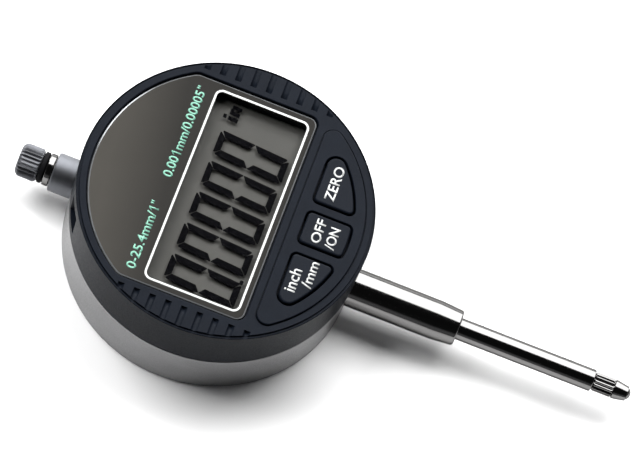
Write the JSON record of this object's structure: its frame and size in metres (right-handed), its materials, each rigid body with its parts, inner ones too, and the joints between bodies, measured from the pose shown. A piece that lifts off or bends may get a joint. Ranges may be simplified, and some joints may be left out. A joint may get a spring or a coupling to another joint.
{
  "type": "dial indicator",
  "caption": "Electronic dial indicator with a round two-tone body, a smoked display lens, push buttons, a clamping stem, a sliding spindle with a fluted contact point and a knurled lifting cap.",
  "frame": {"origin": "on the dial's axis, at the outer face of the back cover, on which the indicator lies", "axes": "+Z out of the display, +Y from the contact point to the lifting cap, +X to the display's right"},
  "size_m": [0.0588, 0.13, 0.026],
  "materials": {
    "silver_case": "satin, fine bead-blasted die casting",
    "screw_steel": "zinc-plated steel",
    "polished_steel": "ground and polished stainless steel",
    "satin_steel": "turned, satin",
    "knurled_steel": "straight-knurled, plated",
    "bronze": "turned bearing bronze",
    "spring_steel": "drawn wire",
    "black_rubber": "matt",
    "slide_plastic": "moulded, smooth",
    "white_plastic": "moulded, smooth",
    "circuit_board": "green solder mask",
    "chip_plastic": "moulded epoxy",
    "contact_bronze": "phosphor bronze strip",
    "cell_steel": "bright nickel-plated can",
    "black_plastic": "moulded, fine texture, bluish black",
    "button_plastic": "moulded, satin, white printed labels",
    "smoked_lens": "clear acrylic, back-printed brown-grey",
    "liquid_crystal": "grey-green reflective display"
  },
  "bodies": {
    "case": {"case_ring": "silver_case", "back_cover": "silver_case", "back_screw_1": "screw_steel", "back_screw_2": "screw_steel", "back_screw_3": "screw_steel", "back_screw_4": "screw_steel", "stem": "polished_steel", "lower_bush": "bronze", "middle_bush": "bronze", "collar": "satin_steel", "upper_bush": "bronze", "guide_rail": "screw_steel", "sensor_board": "circuit_board", "sensor_chip": "chip_plastic", "rail_screw_1": "screw_steel", "sensor_screw_1": "screw_steel", "rail_screw_2": "screw_steel", "sensor_screw_2": "screw_steel", "return_spring": "spring_steel", "slide_washer": "slide_plastic"},
    "spindle": {"spindle": "polished_steel", "contact_point": "polished_steel", "contact_ball": "polished_steel", "stop_ring": "polished_steel", "bumper_ring": "black_rubber", "lifting_cap": "knurled_steel", "slider_block": "white_plastic", "slider_screw": "screw_steel", "pickup_plate": "circuit_board", "guide_pin": "screw_steel"},
    "head": {"front_cover": "black_plastic", "lens": "smoked_lens", "lcd_glass": "liquid_crystal", "lcd_frame": "slide_plastic", "zebra_strip_upper": "black_rubber", "zebra_strip_lower": "black_rubber", "display_board": "circuit_board", "display_chip": "chip_plastic", "cover_screw_1": "screw_steel", "cover_screw_2": "screw_steel", "cover_screw_3": "screw_steel", "cover_screw_4": "screw_steel", "switch_inch_mm": "slide_plastic", "switch_off_on": "slide_plastic", "switch_zero": "slide_plastic", "battery_holder": "white_plastic", "cell_contact_upper": "contact_bronze", "cell_contact_lower": "contact_bronze", "data_port": "slide_plastic", "sensor_cable": "black_rubber"},
    "inch_mm_button": {"button_inch_mm": "button_plastic"},
    "off_on_button": {"button_off_on": "button_plastic"},
    "zero_button": {"button_zero": "button_plastic"},
    "drawer": {"battery_drawer": "black_plastic", "coin_cell": "cell_steel"}
  },
  "joints": [
    {"name": "spindle_slide", "type": "slide", "parent": "case", "child": "spindle", "axis": [0, 1, 0], "range_m": [0, 0.0254], "stiffness_N_per_m": 40, "springref_m": -0.03, "deforming": ["return_spring"]},
    {"name": "head_turn", "type": "hinge", "parent": "case", "child": "head", "pos_m": [0, 0, 0], "axis": [0, 0, 1], "range_deg": [-135, 135]},
    {"name": "inch_mm_press", "type": "slide", "parent": "head", "child": "inch_mm_button", "axis": [0, 0, -1], "range_m": [0, 0.0004], "stiffness_N_per_m": 500},
    {"name": "off_on_press", "type": "slide", "parent": "head", "child": "off_on_button", "axis": [0, 0, -1], "range_m": [0, 0.0004], "stiffness_N_per_m": 500},
    {"name": "zero_press", "type": "slide", "parent": "head", "child": "zero_button", "axis": [0, 0, -1], "range_m": [0, 0.0004], "stiffness_N_per_m": 500},
    {"name": "drawer_slide", "type": "slide", "parent": "head", "child": "drawer", "axis": [1, 0, 0], "range_m": [0, 0.022]}
  ]
}
